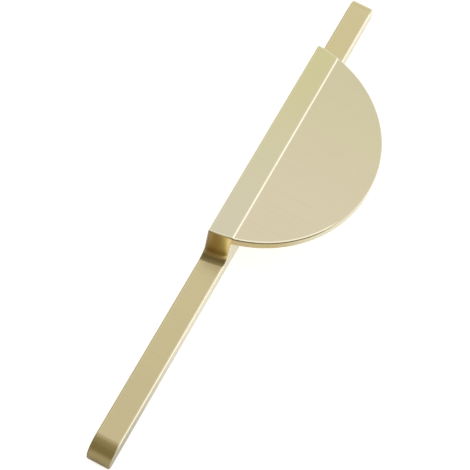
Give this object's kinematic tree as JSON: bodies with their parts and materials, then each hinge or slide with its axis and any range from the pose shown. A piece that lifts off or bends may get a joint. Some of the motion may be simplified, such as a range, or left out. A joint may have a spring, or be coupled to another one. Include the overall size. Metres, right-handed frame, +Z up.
{
  "type": "half-moon cabinet pull",
  "caption": "One-piece satin brass cabinet pull: a square bar flat on the door, raised in the middle, with a half-moon plate to pull from behind.",
  "frame": {"origin": "on the door's face, midway between the two screw holes in the back of the bar", "axes": "+Z up along the bar, towards the end that the half-moon is nearer to; +Y into the door, out of the flat back; +X towards the half-moon's side"},
  "size_m": [0.0469, 0.0286, 0.238],
  "materials": {
    "satin_brass": "pale satin brass, finely brushed, with crisp bright edges"
  },
  "bodies": {
    "root": {"handle": "satin_brass"}
  },
  "joints": []
}
